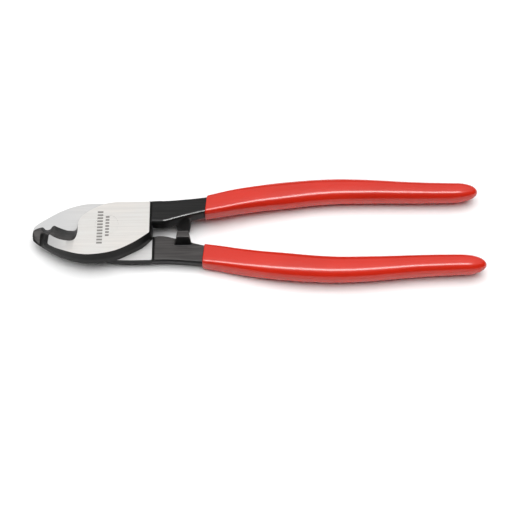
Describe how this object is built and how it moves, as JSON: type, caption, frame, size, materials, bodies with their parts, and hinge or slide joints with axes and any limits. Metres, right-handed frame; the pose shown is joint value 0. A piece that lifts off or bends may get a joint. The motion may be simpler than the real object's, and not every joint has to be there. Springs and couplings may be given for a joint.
{
  "type": "cable cutting pliers",
  "caption": "Hand shears for electric cable: two lapped forged halves on a flush rivet, with curved shearing jaws, stop blocks and dipped grips.",
  "frame": {"origin": "centre of the object's box, on the surface it lies on; the pivot axis stands at X = -80.1 mm, Y = 0, and the lap plane at Z = 7.8 mm", "axes": "+X runs from the jaws to the grip tips, +Z along the pivot axis out of the front face, +Y towards the front half's handle"},
  "size_m": [0.241, 0.0656, 0.0156],
  "materials": {
    "forged_steel": "faces ground bright with fine streaks along the tool, all other surfaces blacked as forged",
    "rivet_steel": "ground flush with the faces",
    "dipped_vinyl": "smooth glossy red dip"
  },
  "bodies": {
    "rear": {"rear_half": "forged_steel", "rear_grip": "dipped_vinyl"},
    "front": {"front_half": "forged_steel", "front_grip": "dipped_vinyl", "pivot_rivet": "rivet_steel"}
  },
  "joints": [
    {"name": "handles_open", "type": "hinge", "parent": "rear", "child": "front", "pos_m": [-0.0801, 0, 0.0078], "axis": [0, 0, 1], "range_deg": [-10.9, 40]}
  ]
}
